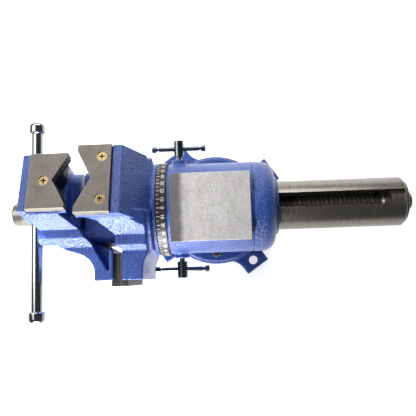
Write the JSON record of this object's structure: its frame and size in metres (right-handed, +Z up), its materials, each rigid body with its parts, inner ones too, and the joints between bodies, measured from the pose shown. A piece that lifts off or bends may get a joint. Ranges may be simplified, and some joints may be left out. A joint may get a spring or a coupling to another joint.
{
  "type": "bench vise",
  "caption": "Multi-purpose bench vise: rotating head with flat jaws and V jaws, slotted slide tube, anvil and swivel base.",
  "frame": {"origin": "centre of the four base mounting holes, on the underside of the base", "axes": "+Z up from the bench; +X along the slide tube, from the handle towards the tube end; +Y to the left seen from the handle"},
  "size_m": [0.5335, 0.2731, 0.2424],
  "materials": {
    "blue_paint": "textured gloss enamel over cast iron",
    "bare_iron": "machined cast iron, faces left bare",
    "jaw_steel": "ground and hardened steel",
    "tube_steel": "turned steel",
    "chrome": "bright plating",
    "scale_black": "black enamel with white degree marks",
    "zinc": "yellow zinc plating",
    "brass": "turned brass",
    "dark_steel": "turned steel, oiled"
  },
  "bodies": {
    "base": {"swivel_base": "blue_paint"},
    "turret": {"body_housing": "blue_paint", "scale_ring": "scale_black", "rear_cover": "blue_paint", "cover_screws": "dark_steel", "clamp_pads": "brass", "pivot_bolt": "dark_steel", "pivot_washer": "dark_steel", "lock_t_nuts": "dark_steel", "lock_washers": "chrome"},
    "head": {"rear_jaw": "blue_paint", "neck_retaining_ring": "dark_steel", "spindle_nut": "bare_iron", "nut_key": "dark_steel", "nut_key_screws": "dark_steel", "rear_v_plate": "jaw_steel", "rear_v_plate_screws": "zinc", "rear_jaw_plate": "jaw_steel", "rear_jaw_plate_screws": "zinc"},
    "front_jaw": {"front_jaw": "blue_paint", "slide_tube": "tube_steel", "tube_pins": "dark_steel", "tube_end_plug": "tube_steel", "thrust_washer": "dark_steel", "front_v_plate": "jaw_steel", "front_v_plate_screw": "zinc", "front_jaw_plate": "jaw_steel", "front_jaw_plate_screws": "zinc"},
    "spindle": {"spindle": "tube_steel", "spindle_collar": "dark_steel", "collar_pins": "dark_steel", "spindle_end_cap": "tube_steel"},
    "handle": {"handle_bar": "chrome", "handle_knobs": "chrome"},
    "lock_bolt_left": {"swivel_lock_bolt_left": "chrome"},
    "clamp_screw_left": {"clamp_screw_left": "chrome"},
    "clamp_bar_left": {"clamp_bar_left": "chrome"},
    "lock_bolt_right": {"swivel_lock_bolt_right": "chrome"},
    "clamp_screw_right": {"clamp_screw_right": "chrome"},
    "clamp_bar_right": {"clamp_bar_right": "chrome"}
  },
  "joints": [
    {"name": "base_swivel", "type": "hinge", "parent": "base", "child": "turret", "pos_m": [0, 0, 0.03], "axis": [0, 0, 1], "continuous": true},
    {"name": "head_rotation", "type": "hinge", "parent": "turret", "child": "head", "pos_m": [0, 0, 0.135], "axis": [1, 0, 0], "continuous": true},
    {"name": "jaw_slide", "type": "slide", "parent": "head", "child": "front_jaw", "axis": [-1, 0, 0], "range_m": [0, 0.13]},
    {"name": "spindle_turn", "type": "hinge", "parent": "front_jaw", "child": "spindle", "pos_m": [-0.25, 0, 0.135], "axis": [-1, 0, 0], "range_deg": [0, 7800]},
    {"name": "handle_slide", "type": "slide", "parent": "spindle", "child": "handle", "axis": [0, 0.9976, -0.0698], "range_m": [-0.092, 0.112]},
    {"name": "clamp_turn_left", "type": "hinge", "parent": "turret", "child": "clamp_screw_left", "pos_m": [-0.047, 0.08, 0.135], "axis": [0, 1, 0], "range_deg": [0, 360]},
    {"name": "clamp_bar_slide_left", "type": "slide", "parent": "clamp_screw_left", "child": "clamp_bar_left", "axis": [1, 0, 0], "range_m": [0, 0.022]},
    {"name": "lock_bolt_turn_left", "type": "hinge", "parent": "turret", "child": "lock_bolt_left", "pos_m": [0, 0.064, 0.045], "axis": [0, 0, 1], "range_deg": [0, 360]},
    {"name": "clamp_turn_right", "type": "hinge", "parent": "turret", "child": "clamp_screw_right", "pos_m": [-0.047, -0.08, 0.135], "axis": [0, -1, 0], "range_deg": [0, 360]},
    {"name": "clamp_bar_slide_right", "type": "slide", "parent": "clamp_screw_right", "child": "clamp_bar_right", "axis": [1, 0, 0], "range_m": [0, 0.022]},
    {"name": "lock_bolt_turn_right", "type": "hinge", "parent": "turret", "child": "lock_bolt_right", "pos_m": [0, -0.064, 0.045], "axis": [0, 0, 1], "range_deg": [0, 360]}
  ],
  "couplings": [
    {"joint": "jaw_slide", "follows": "spindle_turn", "m_per_rad": 0.00095493}
  ]
}
